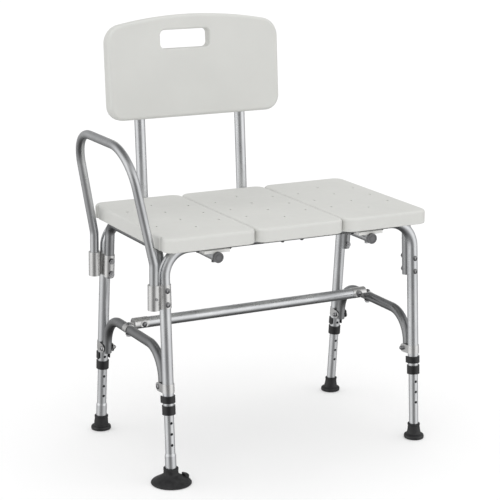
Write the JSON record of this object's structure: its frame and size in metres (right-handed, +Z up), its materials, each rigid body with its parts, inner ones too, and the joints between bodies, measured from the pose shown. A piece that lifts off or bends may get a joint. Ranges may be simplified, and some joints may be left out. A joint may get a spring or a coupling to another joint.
{
  "type": "bath transfer bench",
  "caption": "Bath transfer bench: segmented plastic seat and lift-off backrest on an aluminium tube frame with side armrest and height-adjustable legs.",
  "frame": {"origin": "centre of the whole bench's box, on the floor", "axes": "+Z up, -Y to the front where the sitter's legs hang, -X to the end with the armrest"},
  "size_m": [0.7606, 0.5078, 0.9888],
  "materials": {
    "satin_aluminium": "satin",
    "seat_plastic": "satin, blow moulded",
    "white_plastic": "satin",
    "dark_plastic": "matte",
    "black_plastic": "satin",
    "black_rubber": "matte",
    "fastener_steel": "satin",
    "satin_nickel": "satin"
  },
  "bodies": {
    "frame": {"seat_panel_left": "seat_plastic", "seat_panel_middle": "seat_plastic", "seat_panel_right": "seat_plastic", "seat_screws": "fastener_steel", "front_leg_frame": "satin_aluminium", "rear_leg_frame": "satin_aluminium", "side_rail_left": "satin_aluminium", "side_rail_right": "satin_aluminium", "corner_bolts": "fastener_steel", "corner_nuts": "fastener_steel", "cross_tube_left": "satin_aluminium", "cross_tube_right": "satin_aluminium", "receiver_tube_left": "satin_aluminium", "receiver_tube_right": "satin_aluminium", "tube_end_caps": "dark_plastic", "tube_saddles": "white_plastic", "saddle_bolts": "fastener_steel", "tube_hangers": "dark_plastic", "hanger_screws": "fastener_steel", "brace_arch_left": "satin_aluminium", "brace_arch_right": "satin_aluminium", "leg_clamps": "satin_nickel", "clamp_bolts": "fastener_steel", "clamp_nuts": "fastener_steel", "stretcher": "satin_aluminium", "stretcher_bracket_left": "satin_nickel", "stretcher_bracket_right": "satin_nickel", "stretcher_bolts": "fastener_steel", "arm_socket_front": "satin_nickel", "arm_socket_rear": "satin_nickel", "leg_collar_front_left": "black_plastic", "leg_collar_front_right": "black_plastic", "leg_collar_rear_left": "black_plastic", "leg_collar_rear_right": "black_plastic"},
    "leg_front_left": {"leg_extension_front_left": "satin_aluminium", "suction_foot": "black_rubber"},
    "clip_front_left": {"leg_clip_front_left": "black_plastic"},
    "leg_front_right": {"leg_extension_front_right": "satin_aluminium", "foot_tip_front_right": "black_rubber"},
    "clip_front_right": {"leg_clip_front_right": "black_plastic"},
    "leg_rear_left": {"leg_extension_rear_left": "satin_aluminium", "foot_tip_rear_left": "black_rubber"},
    "clip_rear_left": {"leg_clip_rear_left": "black_plastic"},
    "leg_rear_right": {"leg_extension_rear_right": "satin_aluminium", "foot_tip_rear_right": "black_rubber"},
    "clip_rear_right": {"leg_clip_rear_right": "black_plastic"},
    "armrest": {"armrest_tube": "satin_aluminium"},
    "arm_button_front": {"arm_button_front": "fastener_steel"},
    "arm_button_rear": {"arm_button_rear": "fastener_steel"},
    "backrest": {"backrest_panel": "seat_plastic", "back_post_left": "satin_aluminium", "back_post_right": "satin_aluminium", "post_plugs": "dark_plastic", "back_screws": "fastener_steel"},
    "back_button_left": {"back_button_left": "fastener_steel"},
    "back_button_right": {"back_button_right": "fastener_steel"}
  },
  "joints": [
    {"name": "leg_front_left_slide", "type": "slide", "parent": "frame", "child": "leg_front_left", "axis": [0, -0.0785, -0.9969], "range_m": [-0.0762, 0.0254]},
    {"name": "leg_front_right_slide", "type": "slide", "parent": "frame", "child": "leg_front_right", "axis": [0, -0.0785, -0.9969], "range_m": [-0.0762, 0.0254]},
    {"name": "leg_rear_left_slide", "type": "slide", "parent": "frame", "child": "leg_rear_left", "axis": [0, 0.0785, -0.9969], "range_m": [-0.0762, 0.0254]},
    {"name": "leg_rear_right_slide", "type": "slide", "parent": "frame", "child": "leg_rear_right", "axis": [0, 0.0785, -0.9969], "range_m": [-0.0762, 0.0254]},
    {"name": "clip_front_left_slide", "type": "slide", "parent": "frame", "child": "clip_front_left", "axis": [0, -0.9969, 0.0785], "range_m": [0, 0.025]},
    {"name": "clip_front_right_slide", "type": "slide", "parent": "frame", "child": "clip_front_right", "axis": [0, -0.9969, 0.0785], "range_m": [0, 0.025]},
    {"name": "clip_rear_left_slide", "type": "slide", "parent": "frame", "child": "clip_rear_left", "axis": [0, 0.9969, 0.0785], "range_m": [0, 0.025]},
    {"name": "clip_rear_right_slide", "type": "slide", "parent": "frame", "child": "clip_rear_right", "axis": [0, 0.9969, 0.0785], "range_m": [0, 0.025]},
    {"name": "armrest_slide", "type": "slide", "parent": "frame", "child": "armrest", "axis": [0, 0, 1], "range_m": [0, 0.075]},
    {"name": "backrest_slide", "type": "slide", "parent": "frame", "child": "backrest", "axis": [0, 1, 0], "range_m": [0, 0.12]},
    {"name": "arm_button_front_press", "type": "slide", "parent": "frame", "child": "arm_button_front", "axis": [0, 1, 0], "range_m": [0, 0.0018], "stiffness_N_per_m": 600},
    {"name": "arm_button_rear_press", "type": "slide", "parent": "frame", "child": "arm_button_rear", "axis": [0, -1, 0], "range_m": [0, 0.0018], "stiffness_N_per_m": 600},
    {"name": "back_button_left_press", "type": "slide", "parent": "frame", "child": "back_button_left", "axis": [0, 0, 1], "range_m": [0, 0.0032], "stiffness_N_per_m": 600},
    {"name": "back_button_right_press", "type": "slide", "parent": "frame", "child": "back_button_right", "axis": [0, 0, 1], "range_m": [0, 0.0032], "stiffness_N_per_m": 600}
  ]
}
